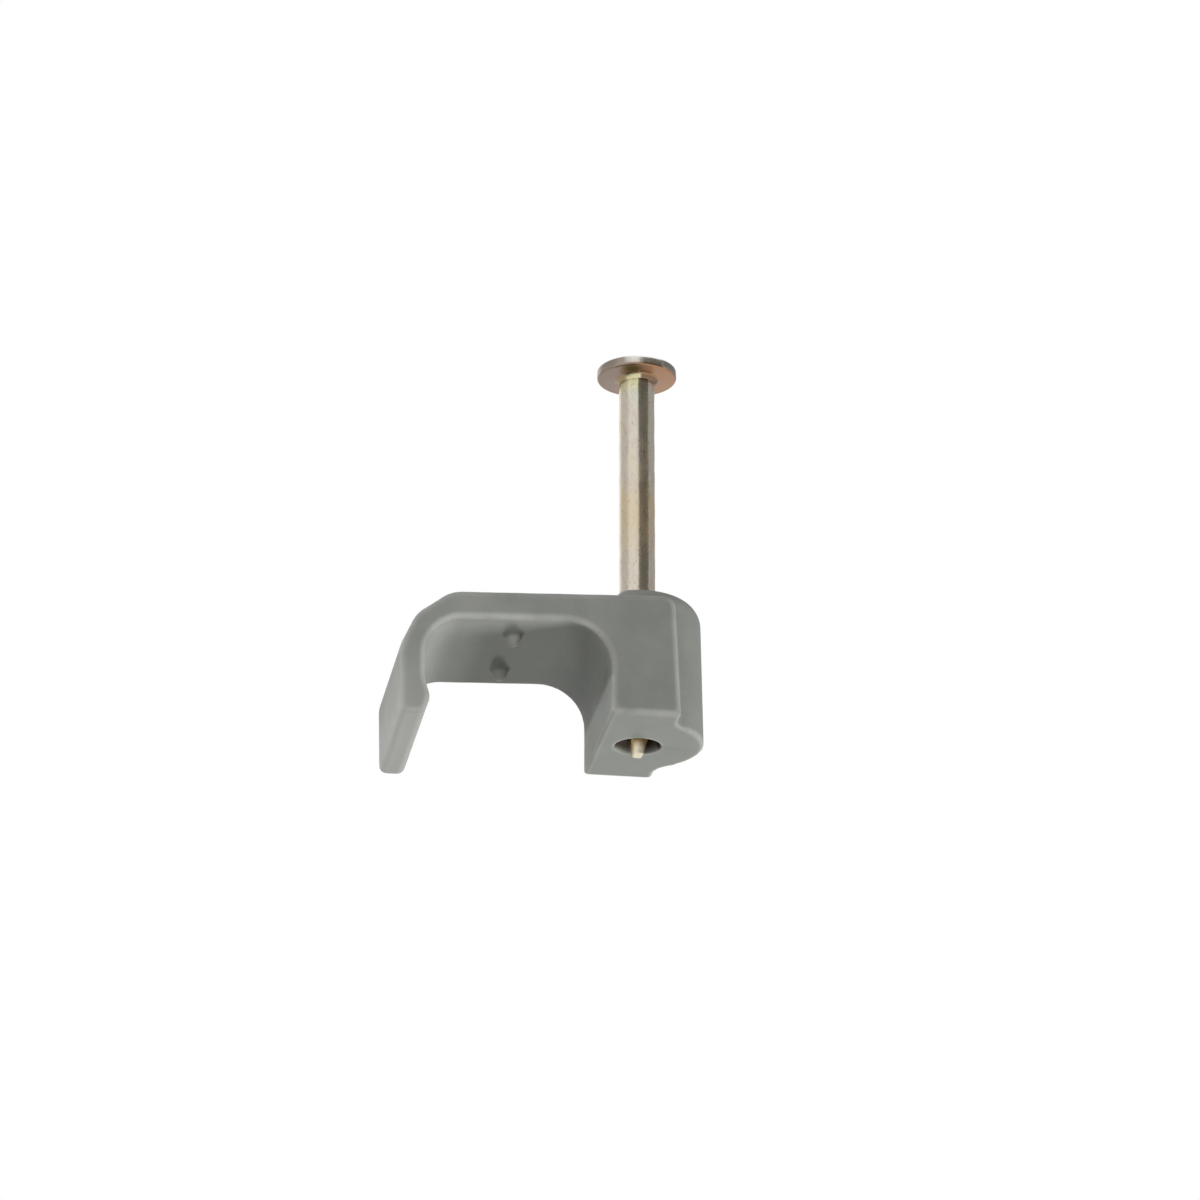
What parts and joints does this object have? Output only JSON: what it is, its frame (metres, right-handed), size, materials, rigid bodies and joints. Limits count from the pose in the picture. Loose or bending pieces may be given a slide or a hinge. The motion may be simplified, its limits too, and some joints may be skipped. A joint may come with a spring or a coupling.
{
  "type": "nail-in cable clip",
  "caption": "Moulded plastic hook that spans a flat cable, with a plated steel nail gripped in a rounded tower at one side, driven into the wall to hold the cable.",
  "frame": {"origin": "on the nail's axis, in the plane of the face that meets the wall", "axes": "+Z away from the wall along the nail to its head; +X from the leg across the channel to the tower; +Y along the cable"},
  "size_m": [0.0175, 0.0102, 0.0236],
  "materials": {
    "clip_plastic": "grey polyethylene, as moulded, satin",
    "nail_steel": "zinc plate with yellow passivation"
  },
  "bodies": {
    "clip": {"clip_body": "clip_plastic"},
    "driven_nail": {"nail": "nail_steel"}
  },
  "joints": [
    {"name": "nail_drive", "type": "slide", "parent": "clip", "child": "driven_nail", "axis": [0, 0, -1], "range_m": [0, 0.01375]}
  ]
}
